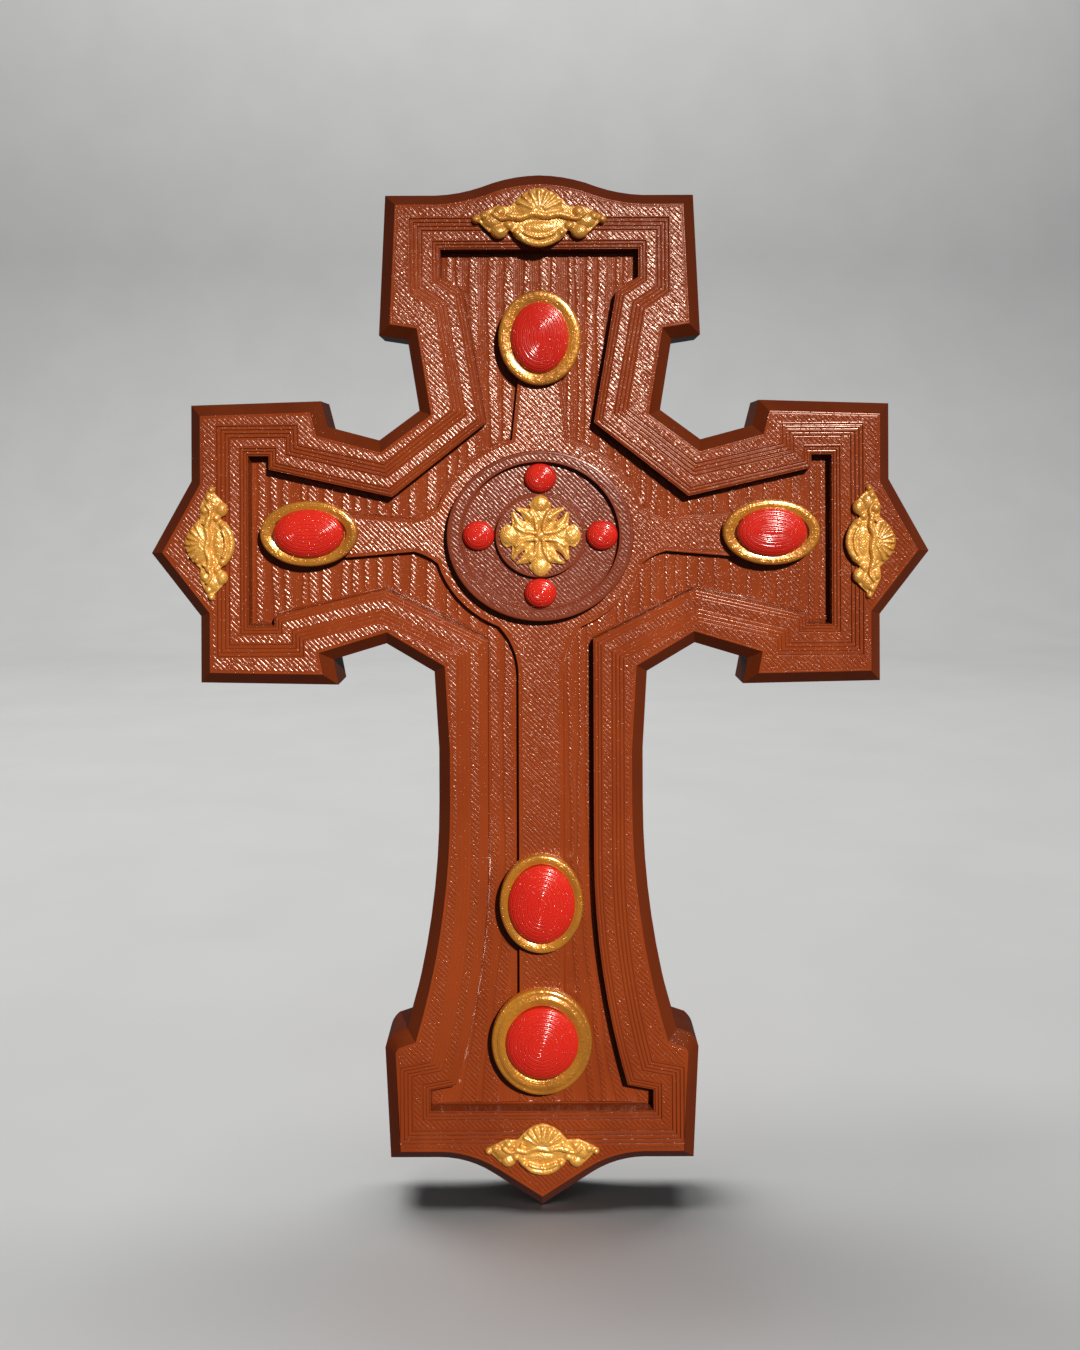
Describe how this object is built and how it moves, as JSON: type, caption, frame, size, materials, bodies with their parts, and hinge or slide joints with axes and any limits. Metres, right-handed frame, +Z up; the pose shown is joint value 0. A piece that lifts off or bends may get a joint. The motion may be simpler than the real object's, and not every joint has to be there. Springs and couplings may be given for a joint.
{
  "type": "altar cross",
  "caption": "Flared cross with a bevelled rim, stepped moulding, sunk panel and strapwork, an oval medallion with a rosette, domed stones in oval bezels, and scroll cartouches.",
  "frame": {"origin": "on the flat back face, behind the middle of the medallion", "axes": "+Z up the cross, along its height; +Y out of the back face, so the front faces -Y; +X to the right seen from the front"},
  "size_m": [0.1756, 0.0158, 0.2325],
  "materials": {
    "brown_plastic": "satin, with fine diagonal print lines and layer steps",
    "medallion_plastic": "satin, with coarser diagonal print lines",
    "gold_plastic": "silky metallic-look gold with crumpled print texture",
    "red_plastic": "smooth bright red with small highlights"
  },
  "bodies": {
    "root": {"cross_body": "brown_plastic", "medallion_disc": "medallion_plastic", "rosette": "gold_plastic", "bezel_upper": "gold_plastic", "gem_upper": "red_plastic", "bezel_left": "gold_plastic", "gem_left": "red_plastic", "bezel_right": "gold_plastic", "gem_right": "red_plastic", "bezel_lower": "gold_plastic", "gem_lower": "red_plastic", "bezel_foot": "gold_plastic", "gem_foot": "red_plastic", "bead_top": "red_plastic", "bead_bottom": "red_plastic", "bead_left": "red_plastic", "bead_right": "red_plastic", "cartouche_top": "gold_plastic", "cartouche_left": "gold_plastic", "cartouche_right": "gold_plastic", "cartouche_foot": "gold_plastic"}
  },
  "joints": []
}
